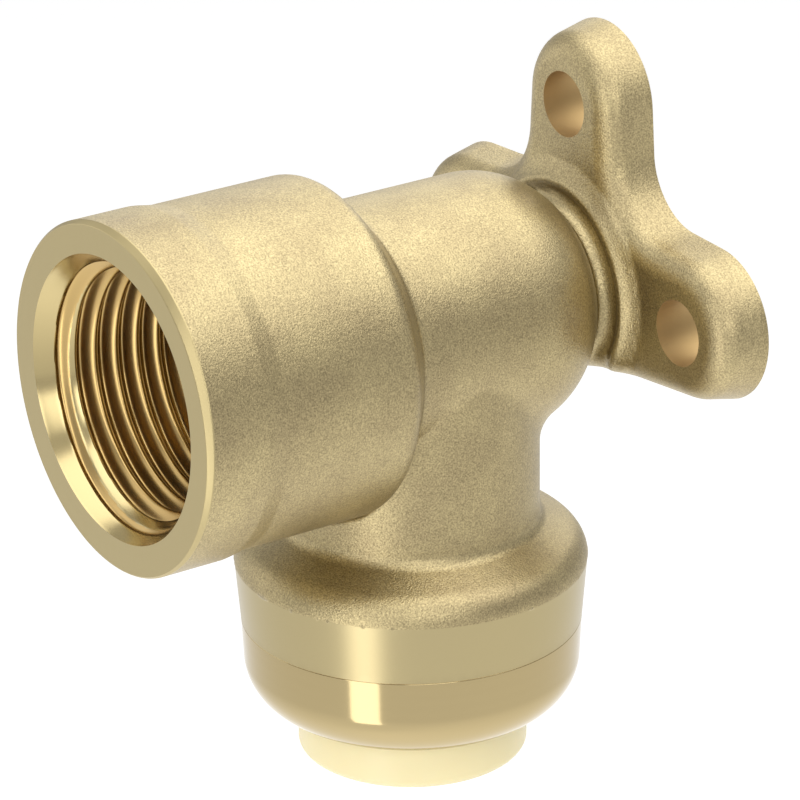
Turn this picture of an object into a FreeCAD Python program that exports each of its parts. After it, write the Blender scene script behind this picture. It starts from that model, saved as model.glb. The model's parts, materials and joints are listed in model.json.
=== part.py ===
import FreeCAD, Part
import math
import os

from FreeCAD import Vector

# Wall plate elbow: a threaded socket that faces out of the wall, a push-fit branch that
# points down, and a plate with three screw ears. All lengths are millimetres.
# The origin is the centre of the plate's wall face on the socket's axis.
# +Z is up, +Y goes into the wall, the socket's mouth faces -Y and the branch faces -Z.

# Plate with ears, drafted as forged
plate_thickness = 4.0
plate_draft_deg = 12.0
plate_hub_radius = 7.0
plate_front_round = 2.2
plate_boss_diameter = 18.0
plate_boss_height = 1.0
plate_boss_round = 0.5
ear_tip_radius = 6.0
ear_valley_radius = 4.6
ear_hole_diameter = 5.2
ear_hole_bevel = 0.2
ear_hole_reach = 14.5
side_ear_rise = 0.3

# Socket, barrel and the neck that joins them to the plate, all round the Y axis
mouth_to_wall = 45.2
rim_diameter = 27.0
rim_band_length = 5.2
rim_step_length = 1.6
rim_edge_bevel = 0.3
socket_diameter = 26.44
socket_shoulder_deg = 39.0
socket_shoulder_round = 1.5
barrel_diameter = 20.58
barrel_start = 24.3
barrel_end = 5.54
barrel_end_length = 6.61
plate_neck_diameter = 12.8

# Branch round a vertical axis; its neck is a little narrower than the barrel
branch_to_wall = 18.6
branch_neck_inset = 0.29
branch_shoulder_deg = 31.0
branch_shoulder_round = 3.0
branch_crease_round = 1.0
saddle_round = 2.5
forged_band_length = 1.75
machined_step = 0.06
machined_band_length = 4.75
band_taper = 0.4

# Thread socket and waterway
thread_bore_diameter = 20.9
thread_bore_length = 15.5
thread_mouth_chamfer = 0.3
waterway_diameter = 12.8
drill_point_deg = 118.0

# Tube socket, for hard copper tube of 5/8 inch outside diameter
tube_diameter = 15.88
tube_clearance = 0.11
tube_stop_depth = 11.0
tube_socket_length = 7.4
spigot_wall = 1.5

# Rubber seal
seal_section_diameter = 2.5
seal_squeeze = 0.04
seal_clearance = 0.1

# Spacer between the grab ring and the seal
protector_length = 5.4
protector_clearance = 0.1
protector_tube_clearance = 0.36
protector_edge_width = 0.5
protector_cone_deg = 35.0

# Grab ring clamped between the spigot and the cap
grab_ring_thickness = 0.5
grab_ring_clearance = 0.2
grab_ring_rim_width = 1.8
tooth_count = 14
tooth_gap_width = 1.3
tooth_bite = 0.09
tooth_slope_deg = 40.0

# Release collar, free to slide in the cap's mouth
collar_tube_clearance = 0.21
collar_wall = 0.825
collar_reach_out = 3.9
collar_end_round = 0.7
collar_travel_room = 2.1
collar_flange_width = 1.025
collar_flange_thickness = 0.9
collar_flange_clearance = 0.1
collar_flange_side_clearance = 0.3
collar_mouth_clearance = 0.275
collar_nose_clearance = 0.4
collar_nose_taper = 0.45

# Retaining cap swaged over the spigot
cap_wall = 1.29
cap_taper = 0.15
cap_skirt_length = 2.45
cap_dome_radius = 4.2
cap_lip_thickness = 1.2

# Diameters that follow, from the tube outwards
tube_socket_diameter = tube_diameter + 2 * tube_clearance
seal_bore_diameter = tube_diameter - 2 * seal_squeeze
seal_seat_diameter = seal_bore_diameter + 2 * (seal_section_diameter + seal_clearance)
spigot_diameter = seal_seat_diameter + 2 * spigot_wall
branch_diameter = spigot_diameter + 2 * (cap_wall + band_taper + machined_step)
branch_neck_diameter = barrel_diameter - 2 * branch_neck_inset
protector_bore_diameter = tube_diameter + 2 * protector_tube_clearance
tooth_tip_diameter = tube_diameter - 2 * tooth_bite
grab_ring_diameter = spigot_diameter - 2 * grab_ring_clearance
collar_bore_diameter = tube_diameter + 2 * collar_tube_clearance
collar_diameter = collar_bore_diameter + 2 * collar_wall
collar_flange_diameter = collar_diameter + 2 * collar_flange_width
cap_mouth_diameter = collar_diameter + 2 * collar_mouth_clearance
cap_cavity_diameter = collar_flange_diameter + 2 * collar_flange_side_clearance

# Depths that follow, from the tube's stop downwards
seal_seat_depth = tube_stop_depth + tube_socket_length
protector_top = seal_seat_depth + seal_section_diameter + 2 * seal_clearance
protector_low = protector_top + protector_length
spigot_end = protector_low + protector_clearance
band_end = spigot_end - cap_skirt_length
forged_end = band_end - machined_band_length
ring_seat = spigot_end + grab_ring_thickness
collar_nose_top = ring_seat + collar_nose_clearance
collar_flange_top = ring_seat + collar_travel_room
collar_flange_low = collar_flange_top + collar_flange_thickness
cap_lip_top = collar_flange_low + collar_flange_clearance
cap_end = cap_lip_top + cap_lip_thickness
cap_dome_start = cap_end - cap_dome_radius
collar_end = cap_end + collar_reach_out

OVERSHOOT = 1.0
TOUCHING = 1e-4
EDGE_SAMPLES = 9


def on_socket_axis(distance, radius):
    """A point of a profile round the Y axis, by its distance from the wall and its radius."""
    return Vector(radius, -distance, 0)


def on_branch_axis(depth, radius):
    """A point of a profile round the branch's axis, by its depth below the socket axis."""
    return Vector(radius, -branch_to_wall, -depth)


def turned(edges, axis_point, axis_direction):
    """The solid that a closed profile sweeps round an axis."""
    profile = Part.Face(Part.Wire(edges))
    return profile.revolve(axis_point, axis_direction, 360)


def turned_on_socket(edges):
    return turned(edges, Vector(0, 0, 0), Vector(0, 1, 0))


def turned_on_branch(edges):
    return turned(edges, Vector(0, -branch_to_wall, 0), Vector(0, 0, 1))


def straight_runs(points):
    """Straight edges from each point to the next."""
    pairs = zip(points[:-1], points[1:])
    return [Part.makeLine(first, second) for first, second in pairs]


def ring_profile(points):
    """A closed outline of straight edges."""
    return straight_runs(points + points[:1])


def rounded_profile(corners):
    """A closed outline of straight runs. Each corner is a point and the radius of its round."""
    rounds = []
    for index, (corner, radius) in enumerate(corners):
        before = corners[index - 1][0]
        after = corners[(index + 1) % len(corners)][0]
        back = (before - corner).normalize()
        ahead = (after - corner).normalize()
        half_angle = back.getAngle(ahead) / 2
        reach = radius / math.tan(half_angle)
        middle = (back + ahead).normalize() * (radius / math.sin(half_angle) - radius)
        rounds.append((corner + back * reach, corner + middle, corner + ahead * reach, radius))
    edges = []
    for index, (first, middle, last, radius) in enumerate(rounds):
        if radius > 0:
            edges.append(Part.Arc(first, middle, last).toShape())
        edges.append(Part.makeLine(last, rounds[(index + 1) % len(rounds)][0]))
    return edges


def rounded_end(place, full_at, full_radius, small_at, small_radius):
    """An arc that leaves the large diameter tangent and drops to the small one."""
    run = abs(small_at - full_at)
    drop = full_radius - small_radius
    arc_radius = (run * run + drop * drop) / (2 * drop)
    half_turn = math.atan2(drop, run)
    middle_at = full_at + (small_at - full_at) / run * arc_radius * math.sin(half_turn)
    middle_radius = full_radius - arc_radius * (1 - math.cos(half_turn))
    ends = (place(full_at, full_radius), place(small_at, small_radius))
    return Part.Arc(ends[0], place(middle_at, middle_radius), ends[1]).toShape()


def cone_length(drop, lean_deg):
    """Length along the axis of a coned shoulder that leans from the flat by an angle."""
    return drop * math.tan(math.radians(lean_deg))


def socket():
    """The socket with its rim band, coned at its back until it dives into the barrel."""
    rim = rim_diameter / 2
    outer = socket_diameter / 2
    root = waterway_diameter / 2
    band_at = mouth_to_wall - rim_band_length
    step_at = band_at - rim_step_length
    drop_to_barrel = (socket_diameter - barrel_diameter) / 2
    shoulder_at = barrel_start + cone_length(drop_to_barrel, socket_shoulder_deg)
    root_at = shoulder_at - cone_length(outer - root, socket_shoulder_deg)
    return turned_on_socket(rounded_profile([
        (on_socket_axis(root_at, 0), 0),
        (on_socket_axis(mouth_to_wall, 0), 0),
        (on_socket_axis(mouth_to_wall, rim - rim_edge_bevel), 0),
        (on_socket_axis(mouth_to_wall - rim_edge_bevel, rim), 0),
        (on_socket_axis(band_at, rim), 0),
        (on_socket_axis(step_at, outer), 0),
        (on_socket_axis(shoulder_at, outer), socket_shoulder_round),
        (on_socket_axis(root_at, root), 0),
    ]))


def barrel():
    """The barrel from inside the socket to its rounded end, and the neck at the plate."""
    radius = barrel_diameter / 2
    neck = plate_neck_diameter / 2
    front_at = mouth_to_wall - rim_band_length
    round_at = barrel_end + barrel_end_length
    neck_foot = plate_thickness / 2
    edges = straight_runs([
        on_socket_axis(barrel_end, neck),
        on_socket_axis(neck_foot, neck),
        on_socket_axis(neck_foot, 0),
        on_socket_axis(front_at, 0),
        on_socket_axis(front_at, radius),
        on_socket_axis(round_at, radius),
    ])
    edges.append(rounded_end(on_socket_axis, round_at, radius, barrel_end, neck))
    return turned_on_socket(edges)


def branch():
    """The downward branch: forged neck and shoulder, machined band and the cap's spigot."""
    neck = branch_neck_diameter / 2
    forged = branch_diameter / 2
    band = forged - machined_step
    spigot = spigot_diameter / 2
    shoulder_low = forged_end - forged_band_length
    shoulder_top = shoulder_low - cone_length(forged - neck, branch_shoulder_deg)
    return turned_on_branch(rounded_profile([
        (on_branch_axis(0, 0), 0),
        (on_branch_axis(0, neck), 0),
        (on_branch_axis(shoulder_top, neck), branch_crease_round),
        (on_branch_axis(shoulder_low, forged), branch_shoulder_round),
        (on_branch_axis(forged_end, forged), 0),
        (on_branch_axis(forged_end, band), 0),
        (on_branch_axis(band_end, band - band_taper), 0),
        (on_branch_axis(band_end, spigot), 0),
        (on_branch_axis(spigot_end, spigot), 0),
        (on_branch_axis(spigot_end, 0), 0),
    ]))


def ear_centres():
    """The screw holes' centres on the wall face: right, left and top."""
    right = Vector(ear_hole_reach, 0, side_ear_rise)
    left = Vector(-ear_hole_reach, 0, side_ear_rise)
    return [right, left, Vector(0, 0, ear_hole_reach)]


def ear_outline(centre):
    """A flat tongue: the tip's circle and the hub's circle joined by their tangents."""
    reach = centre.Length
    outward = centre / reach
    across = Vector(outward.z, 0, -outward.x)
    lean = math.asin((plate_hub_radius - ear_tip_radius) / reach)
    sides = []
    for side in (1, -1):
        normal = outward * math.sin(lean) + across * (side * math.cos(lean))
        sides.append((normal * plate_hub_radius, centre + normal * ear_tip_radius))
    (hub_a, tip_a), (hub_b, tip_b) = sides
    edges = [
        Part.makeLine(hub_a, tip_a),
        Part.Arc(tip_a, centre + outward * ear_tip_radius, tip_b).toShape(),
        Part.makeLine(tip_b, hub_b),
        Part.Arc(hub_b, outward * -plate_hub_radius, hub_a).toShape(),
    ]
    return Part.Face(Part.Wire(edges))


def plate_outline():
    """The three tongues as one flat outline, with rounded valleys between them."""
    tongues = [ear_outline(centre) for centre in ear_centres()]
    outline = tongues[0].fuse(tongues[1:]).removeSplitter().Faces[0].OuterWire
    swollen = outline.makeOffset2D(ear_valley_radius)
    return swollen.makeOffset2D(-ear_valley_radius)


def front_outline():
    """The plate's outline at its front face, drawn in by the draft of its sides."""
    draft = plate_thickness * math.tan(math.radians(plate_draft_deg))
    outline = plate_outline().makeOffset2D(-draft)
    outline.translate(Vector(0, -plate_thickness, 0))
    return outline


def plate():
    """The eared plate: drafted sides, rounded front edges, seated on the wall plane."""
    solid = Part.makeLoft([plate_outline(), front_outline()], True, True)
    front_edges = []
    for edge in solid.Edges:
        if abs(edge.BoundBox.YMax + plate_thickness) < TOUCHING:
            front_edges.append(edge)
    return solid.makeFillet(plate_front_round, front_edges)


def plate_boss():
    """A low round boss on the plate's front, kept within the plate's outline."""
    radius = plate_boss_diameter / 2
    front = plate_thickness + plate_boss_height
    middle = plate_thickness / 2
    disc = turned_on_socket(rounded_profile([
        (on_socket_axis(middle, 0), 0),
        (on_socket_axis(front, 0), 0),
        (on_socket_axis(front, radius), plate_boss_round),
        (on_socket_axis(middle, radius), 0),
    ]))
    outline = front_outline()
    outline.translate(Vector(0, plate_thickness, 0))
    column = Part.Face(outline).extrude(Vector(0, -front - OVERSHOOT, 0))
    return disc.common(column)


def saddle_edges(solid):
    """The solid's curved edges that lie on the branch's neck and rise along it."""
    neck = branch_neck_diameter / 2
    found = []
    for edge in solid.Edges:
        points = edge.discretize(EDGE_SAMPLES)
        misses = [abs(math.hypot(point.x, point.y + branch_to_wall) - neck) for point in points]
        rises = edge.BoundBox.ZLength > TOUCHING
        bends = edge.BoundBox.XLength > TOUCHING
        if max(misses) < TOUCHING and rises and bends:
            found.append(edge)
    return found


def forging():
    """Barrel and branch, blended at their saddle, with the socket and the plate."""
    elbow = barrel().fuse(branch()).removeSplitter()
    elbow = elbow.makeFillet(saddle_round, saddle_edges(elbow))
    return elbow.fuse([socket(), plate(), plate_boss()]).removeSplitter()


def ear_holes():
    """Screw holes through the ears, each with a broken front edge."""
    radius = ear_hole_diameter / 2
    inward = Vector(0, 1, 0)
    tools = []
    for centre in ear_centres():
        front = centre + Vector(0, -plate_thickness, 0)
        through = plate_thickness + 2 * OVERSHOOT
        tools.append(Part.makeCylinder(radius, through, front - inward * OVERSHOOT, inward))
        wide = radius + ear_hole_bevel
        tools.append(Part.makeCone(wide, radius, ear_hole_bevel, front, inward))
    return tools


def drill_point(diameter):
    """Length of the cone that a drill leaves at the end of its hole."""
    return diameter / 2 / math.tan(math.radians(drill_point_deg / 2))


def waterway():
    """The bore for the pipe thread, and the drillings that meet inside the elbow."""
    bore = thread_bore_diameter / 2
    passage = waterway_diameter / 2
    thread_end = mouth_to_wall - thread_bore_length
    passage_end = branch_to_wall - passage
    across = turned_on_socket(ring_profile([
        on_socket_axis(mouth_to_wall + OVERSHOOT, 0),
        on_socket_axis(mouth_to_wall + OVERSHOOT, bore + thread_mouth_chamfer + OVERSHOOT),
        on_socket_axis(mouth_to_wall - thread_mouth_chamfer, bore),
        on_socket_axis(thread_end, bore),
        on_socket_axis(thread_end - (bore - passage), passage),
        on_socket_axis(passage_end, passage),
        on_socket_axis(passage_end - drill_point(waterway_diameter), 0),
    ]))
    tube = tube_socket_diameter / 2
    seat = seal_seat_diameter / 2
    down = turned_on_branch(ring_profile([
        on_branch_axis(0, 0),
        on_branch_axis(0, passage),
        on_branch_axis(tube_stop_depth, passage),
        on_branch_axis(tube_stop_depth, tube),
        on_branch_axis(seal_seat_depth, tube),
        on_branch_axis(seal_seat_depth, seat),
        on_branch_axis(spigot_end + OVERSHOOT, seat),
        on_branch_axis(spigot_end + OVERSHOOT, 0),
    ]))
    return [across, down]


def body():
    """The brass body: forged, then drilled and bored."""
    return forging().cut(ear_holes() + waterway())


def retaining_cap():
    """Turned cap: its skirt fits the spigot and its lip keeps the collar in."""
    skirt = spigot_diameter / 2
    top = skirt + cap_wall
    dome = top - cap_taper
    dome_centre = dome - cap_dome_radius
    dome_arc = Part.Arc(
        on_branch_axis(cap_dome_start, dome),
        on_branch_axis(
            cap_dome_start + cap_dome_radius * math.sin(math.pi / 4),
            dome_centre + cap_dome_radius * math.cos(math.pi / 4),
        ),
        on_branch_axis(cap_end, dome_centre),
    )
    blank = turned_on_branch([dome_arc.toShape()] + straight_runs([
        on_branch_axis(cap_end, dome_centre),
        on_branch_axis(cap_end, 0),
        on_branch_axis(band_end, 0),
        on_branch_axis(band_end, top),
        on_branch_axis(cap_dome_start, dome),
    ]))
    cavity = cap_cavity_diameter / 2
    mouth = cap_mouth_diameter / 2
    bores = turned_on_branch(ring_profile([
        on_branch_axis(band_end - OVERSHOOT, 0),
        on_branch_axis(band_end - OVERSHOOT, skirt),
        on_branch_axis(ring_seat, skirt),
        on_branch_axis(ring_seat, cavity),
        on_branch_axis(cap_lip_top, cavity),
        on_branch_axis(cap_lip_top, mouth),
        on_branch_axis(cap_end + OVERSHOOT, mouth),
        on_branch_axis(cap_end + OVERSHOOT, 0),
    ]))
    return blank.cut(bores)


def release_collar():
    """Sleeve that frees the tube: its flange sits behind the cap's lip."""
    bore = collar_bore_diameter / 2
    outer = collar_diameter / 2
    flange = collar_flange_diameter / 2
    return turned_on_branch(rounded_profile([
        (on_branch_axis(collar_end, bore), 0),
        (on_branch_axis(collar_end, outer), collar_end_round),
        (on_branch_axis(collar_flange_low, outer), 0),
        (on_branch_axis(collar_flange_low, flange), 0),
        (on_branch_axis(collar_flange_top, flange), 0),
        (on_branch_axis(collar_flange_top, outer), 0),
        (on_branch_axis(collar_nose_top, outer - collar_nose_taper), 0),
        (on_branch_axis(collar_nose_top, bore), 0),
    ]))


def grab_ring():
    """Flat rim with a ring of teeth that lean up the tube."""
    outer = grab_ring_diameter / 2
    root = outer - grab_ring_rim_width
    tip = tooth_tip_diameter / 2
    rise = (root - tip) * math.tan(math.radians(tooth_slope_deg))
    ring = turned_on_branch(ring_profile([
        on_branch_axis(ring_seat, root),
        on_branch_axis(ring_seat, outer),
        on_branch_axis(spigot_end, outer),
        on_branch_axis(spigot_end, root),
        on_branch_axis(spigot_end - rise, tip),
        on_branch_axis(ring_seat - rise, tip),
    ]))
    height = rise + grab_ring_thickness
    gap = Part.makeBox(root, tooth_gap_width, height + 2 * OVERSHOOT)
    gap.translate(Vector(0, -branch_to_wall - tooth_gap_width / 2, -ring_seat - OVERSHOOT))
    gaps = []
    for index in range(tooth_count):
        cutter = gap.copy()
        turn = 360 * index / tooth_count
        cutter.rotate(on_branch_axis(0, 0), Vector(0, 0, 1), turn)
        gaps.append(cutter)
    return ring.cut(gaps)


def o_ring_protector():
    """Spacer ring between seal and grab ring, coned below so that the teeth can lift."""
    outer = seal_seat_diameter / 2 - protector_clearance
    bore = protector_bore_diameter / 2
    edge = outer - protector_edge_width
    cone = (edge - bore) / math.tan(math.radians(protector_cone_deg))
    return turned_on_branch(ring_profile([
        on_branch_axis(protector_top, bore),
        on_branch_axis(protector_top, outer),
        on_branch_axis(protector_low, outer),
        on_branch_axis(protector_low, edge),
        on_branch_axis(protector_low - cone, bore),
    ]))


def o_ring():
    """Round seal in its seat above the spacer."""
    section = seal_section_diameter / 2
    centre = seal_bore_diameter / 2 + section
    depth = seal_seat_depth + seal_clearance + section
    return Part.makeTorus(centre, section, on_branch_axis(depth, 0), Vector(0, 0, 1))


PIECES = {
    "body": body,
    "retaining_cap": retaining_cap,
    "release_collar": release_collar,
    "grab_ring": grab_ring,
    "o_ring_protector": o_ring_protector,
    "o_ring": o_ring,
}

os.makedirs("parts", exist_ok=True)
for name, make in PIECES.items():
    shape = make()
    shape.exportStep(os.path.join("parts", name + ".step"))
    print(name, "valid", shape.isValid(), "solids", len(shape.Solids), "volume", round(shape.Volume, 1))
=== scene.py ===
# %% [markdown]
# # Wall plate elbow
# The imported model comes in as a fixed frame, with every node where the drawing says. The
# brass body, its thread, the cap, the collar and the grab ring are then dressed as finer
# surfaces in the same place. They are worked out in millimetres with numpy, as whole arrays,
# and turned to metres when a mesh is made.

import json
import math

import bpy
import numpy as np
from mathutils import Matrix, Vector


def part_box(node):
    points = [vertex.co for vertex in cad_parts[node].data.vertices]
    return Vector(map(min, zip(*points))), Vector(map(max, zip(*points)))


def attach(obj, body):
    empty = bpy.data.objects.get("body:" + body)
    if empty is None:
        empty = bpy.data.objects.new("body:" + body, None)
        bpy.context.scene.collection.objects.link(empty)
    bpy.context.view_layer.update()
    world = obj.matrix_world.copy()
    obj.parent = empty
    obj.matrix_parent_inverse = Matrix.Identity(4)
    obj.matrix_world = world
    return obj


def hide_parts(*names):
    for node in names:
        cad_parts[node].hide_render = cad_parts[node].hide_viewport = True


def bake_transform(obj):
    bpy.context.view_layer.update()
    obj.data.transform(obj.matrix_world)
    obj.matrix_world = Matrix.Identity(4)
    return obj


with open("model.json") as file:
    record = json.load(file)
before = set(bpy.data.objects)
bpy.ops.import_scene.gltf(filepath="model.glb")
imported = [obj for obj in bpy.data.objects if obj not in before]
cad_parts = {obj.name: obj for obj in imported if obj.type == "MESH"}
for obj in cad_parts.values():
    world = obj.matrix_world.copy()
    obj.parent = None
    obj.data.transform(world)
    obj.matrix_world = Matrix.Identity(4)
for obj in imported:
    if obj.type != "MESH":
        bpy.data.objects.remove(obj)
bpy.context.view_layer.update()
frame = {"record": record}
MM_PER_METRE = 1000.0

# %% [markdown]
# ## From arrays to meshes
# A mesh is a list of points and a list of faces. Every piece here has faces with four
# corners, because each comes from a grid. The sum of the volumes between the origin and each
# face is positive where the faces point outwards, so that one number also turns a shape that
# came out inside out.

# %% Helpers that make a piece
SHARP_DEG = 32.0


def corner_volume(points, quads):
    """Volume inside closed faces: a sixth of the triple product of each triangle's corners."""
    first, second, third, fourth = (points[quads[:, corner]] for corner in range(4))
    one_half = np.einsum("ij,ij->i", first, np.cross(second, third))
    other_half = np.einsum("ij,ij->i", first, np.cross(third, fourth))
    return (one_half + other_half).sum() / 6


def make_piece(name, points, quads, body):
    """Puts points in millimetres and their faces into a mesh that rides on a CAD body, or on
    none when no body is given."""
    if corner_volume(points, quads) < 0:
        quads = quads[:, ::-1]
    mesh = bpy.data.meshes.new(name)
    mesh.from_pydata(points / MM_PER_METRE, [], quads)
    mesh.polygons.foreach_set("use_smooth", np.ones(len(quads), bool))
    mesh.set_sharp_from_angle(angle=math.radians(SHARP_DEG))
    piece = bpy.data.objects.new(name, mesh)
    bpy.context.scene.collection.objects.link(piece)
    if body is not None:
        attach(piece, body)
    volume = corner_volume(points, quads)
    print(name, len(points), "points", len(quads), "faces", round(volume, 1), "cubic mm")
    return piece


def closed_grid_faces(rows, columns):
    """Faces of a grid whose last row joins the first and whose last column joins the first."""
    number = np.arange(rows * columns).reshape(rows, columns)
    beside = np.roll(number, -1, axis=1)
    below = np.roll(number, -1, axis=0)
    across = np.roll(beside, -1, axis=0)
    return np.stack([number, beside, across, below], axis=-1).reshape(-1, 4)


# %% [markdown]
# ## Turned outlines
# A lathe makes a shape from one outline: how far along the axis, and how far from it. The
# outline's corners are rounded here by arcs that touch both straight runs, as a tool's nose
# leaves them. Carrying the outline round the axis gives a closed grid with no seam and no pole.

# %% Outlines and turned pieces
ARC_STEP_DEG = 3.0
TURN_STEPS = 256
BRANCH_TO_WALL = -frame["record"]["mounts"][-1]["pos_m"][1] * MM_PER_METRE


def rounded_outline(corners):
    """Closed outline from corners (along, radius, round): each round is an arc about the point
    on the corner's bisector that lies the round's radius from both straight runs."""
    places = np.array([corner[:2] for corner in corners], float)
    outline = []
    for index, corner in enumerate(places):
        radius = corners[index][2]
        back = places[index - 1] - corner
        ahead = places[(index + 1) % len(places)] - corner
        back /= np.linalg.norm(back)
        ahead /= np.linalg.norm(ahead)
        if radius == 0:
            outline.append(corner[None])
            continue
        half_angle = math.acos(np.clip(back @ ahead, -1, 1)) / 2
        sweep = math.pi - 2 * half_angle
        middle = (back + ahead) / np.linalg.norm(back + ahead)
        centre = corner + middle * radius / math.sin(half_angle)
        first = corner + back * radius / math.tan(half_angle) - centre
        last = corner + ahead * radius / math.tan(half_angle) - centre
        share = np.linspace(0, 1, 2 + round(math.degrees(sweep) / ARC_STEP_DEG))[:, None]
        arc = (np.sin((1 - share) * sweep) * first + np.sin(share * sweep) * last) / math.sin(sweep)
        outline.append(centre + arc)
    return np.concatenate(outline)


def round_branch(depth, radius, angle):
    """Points round the branch's vertical axis, from depth below the socket's axis."""
    x = radius * np.cos(angle)
    y = radius * np.sin(angle) - BRANCH_TO_WALL
    return np.stack([x, y, -depth + 0 * angle], axis=-1)


def round_socket(distance, radius, angle):
    """Points round the socket's axis, from distance in front of the wall."""
    x = radius * np.cos(angle)
    z = radius * np.sin(angle)
    return np.stack([x, -distance + 0 * angle, z], axis=-1)


def turned_piece(name, outline, place, body):
    """A closed outline carried round an axis: a grid of outline points by turning angles."""
    angle = np.arange(TURN_STEPS) * 2 * math.pi / TURN_STEPS
    points = place(outline[:, :1], outline[:, 1:], angle[None]).reshape(-1, 3)
    return make_piece(name, points, closed_grid_faces(len(outline), TURN_STEPS), body)


print("branch axis", round(BRANCH_TO_WALL, 2), "mm from the wall")

# %% [markdown]
# ## The forging as a field of distances
# The body is hot-forged brass: a socket, a barrel, a branch and an eared plate that flow into
# each other. Booleans on meshes would leave hard seams at those joins. Instead every form
# is a function that gives a point's distance from its surface, negative inside. Two such
# functions are joined with a round of any radius in one line, and that is how metal fills a die.

# %% Distances for turned forms
TABLE_STEP = 0.06
TABLE_MARGIN = 4.0
SAME_POINT = 1e-9


def outline_distance(outline, along, radius):
    """Distance to the nearest edge of a closed outline, negative where a ray along the axis
    crosses the outline an odd number of times."""
    nearest = np.full(along.shape, np.inf)
    inside = np.zeros(along.shape, bool)
    for start, end in zip(outline, np.roll(outline, -1, axis=0)):
        edge = end - start
        ahead = along - start[0]
        above = radius - start[1]
        share = np.clip((ahead * edge[0] + above * edge[1]) / (edge @ edge), 0, 1)
        nearest = np.minimum(nearest, np.hypot(ahead - share * edge[0], above - share * edge[1]))
        if edge[1] != 0:
            spans = (start[1] > radius) != (end[1] > radius)
            inside ^= spans & (ahead < above * edge[0] / edge[1])
    return np.where(inside, -nearest, nearest)


def turned_distance(half_outline):
    """Distance from a turned form, read from a table over (along, radius). The outline is
    mirrored through the axis, so that the axis itself is no edge."""
    mirrored = half_outline[::-1] * (1, -1)
    outline = np.concatenate([half_outline, mirrored])
    apart = np.linalg.norm(outline - np.roll(outline, 1, axis=0), axis=1)
    outline = outline[apart > SAME_POINT]
    low = half_outline[:, 0].min() - TABLE_MARGIN
    high = half_outline[:, 0].max() + TABLE_MARGIN
    widest = half_outline[:, 1].max() + TABLE_MARGIN
    along_steps = np.arange(low, high, TABLE_STEP)
    radius_steps = np.arange(0, widest, TABLE_STEP)
    table = outline_distance(outline, *np.meshgrid(along_steps, radius_steps, indexing="ij"))

    def distance(along, radius):
        row = np.clip((along - low) / TABLE_STEP, 0, len(along_steps) - 2)
        column = np.clip(radius / TABLE_STEP, 0, len(radius_steps) - 2)
        i = row.astype(int)
        j = column.astype(int)
        down = row - i
        right = column - j
        upper = table[i, j] * (1 - right) + table[i, j + 1] * right
        lower = table[i + 1, j] * (1 - right) + table[i + 1, j + 1] * right
        return upper * (1 - down) + lower * down

    return distance


# %% [markdown]
# ## The forms of the body
# Most of these sizes repeat the drawing's. A few rounds and the slope of the branch's shoulder
# come closer to the photograph. The socket flares from the barrel and carries a proud rim. The
# barrel ends in a dome and a short neck at the plate. The branch widens to the band where the
# cap sits. The socket runs on past its mouth, and the face is cut off square later, as on the
# real part.

# %% Outlines of socket and branch
MOUTH_TO_WALL = 45.2
RIM_RADIUS = 13.5
RIM_BAND_START = 40.0
RIM_STEP_START = 38.4
SOCKET_RADIUS = 13.22
SOCKET_SHOULDER_DEG = 39.0
SOCKET_SHOULDER_ROUND = 1.5
CREASE_ROUND = 0.7
BARREL_RADIUS = 10.29
BARREL_START = 24.3
DOME_END = 5.54
DOME_LENGTH = 6.61
DOME_CREASE_ROUND = 0.5
PLATE_NECK_RADIUS = 6.4
NECK_RADIUS = 10.0
SHOULDER_DEG = 28.0
SHOULDER_LOW = 17.85
SHOULDER_ROUND = 2.5
SHOULDER_CREASE_ROUND = 1.2
BRANCH_RADIUS = 13.75
FORGED_END = 19.4
BAND_RADIUS = 13.69
BAND_END = 24.15
BAND_END_RADIUS = 13.29
SPIGOT_RADIUS = 12.0
SPIGOT_END = 26.6
PAST_CUT = 2.0


def dome_arc():
    """The barrel's end: an arc that leaves the barrel tangent and drops to the plate's neck."""
    drop = BARREL_RADIUS - PLATE_NECK_RADIUS
    radius = (DOME_LENGTH**2 + drop**2) / (2 * drop)
    full_turn = 2 * math.atan2(drop, DOME_LENGTH)
    turn = np.linspace(0, full_turn, 2 + int(math.degrees(full_turn) / ARC_STEP_DEG))
    along = DOME_END + DOME_LENGTH - radius * np.sin(turn)
    return np.stack([along, BARREL_RADIUS - radius * (1 - np.cos(turn))], axis=-1)[::-1]


shoulder_run = (SOCKET_RADIUS - BARREL_RADIUS) * math.tan(math.radians(SOCKET_SHOULDER_DEG))
neck_foot = [(-PAST_CUT, PLATE_NECK_RADIUS, 0), (DOME_END, PLATE_NECK_RADIUS, DOME_CREASE_ROUND)]
dome = [(along, radius, 0) for along, radius in dome_arc()[1:]]
socket_outline = rounded_outline(neck_foot + dome + [
    (BARREL_START, BARREL_RADIUS, CREASE_ROUND),
    (BARREL_START + shoulder_run, SOCKET_RADIUS, SOCKET_SHOULDER_ROUND),
    (RIM_STEP_START, SOCKET_RADIUS, 0),
    (RIM_BAND_START, RIM_RADIUS, 0),
    (MOUTH_TO_WALL + PAST_CUT, RIM_RADIUS, 0),
])
socket_distance = turned_distance(socket_outline)
shoulder_rise = (BRANCH_RADIUS - NECK_RADIUS) * math.tan(math.radians(SHOULDER_DEG))
branch_outline = rounded_outline([
    (0, NECK_RADIUS, 0),
    (SHOULDER_LOW - shoulder_rise, NECK_RADIUS, SHOULDER_CREASE_ROUND),
    (SHOULDER_LOW, BRANCH_RADIUS, SHOULDER_ROUND),
    (FORGED_END, BRANCH_RADIUS, 0),
    (FORGED_END, BAND_RADIUS, 0),
    (BAND_END, BAND_END_RADIUS, 0),
    (BAND_END + PAST_CUT, BAND_END_RADIUS, 0),
    (SPIGOT_END + PAST_CUT, BAND_END_RADIUS, 0),
])
branch_distance = turned_distance(branch_outline)
print("socket outline", len(socket_outline), "points, branch outline", len(branch_outline))

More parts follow.
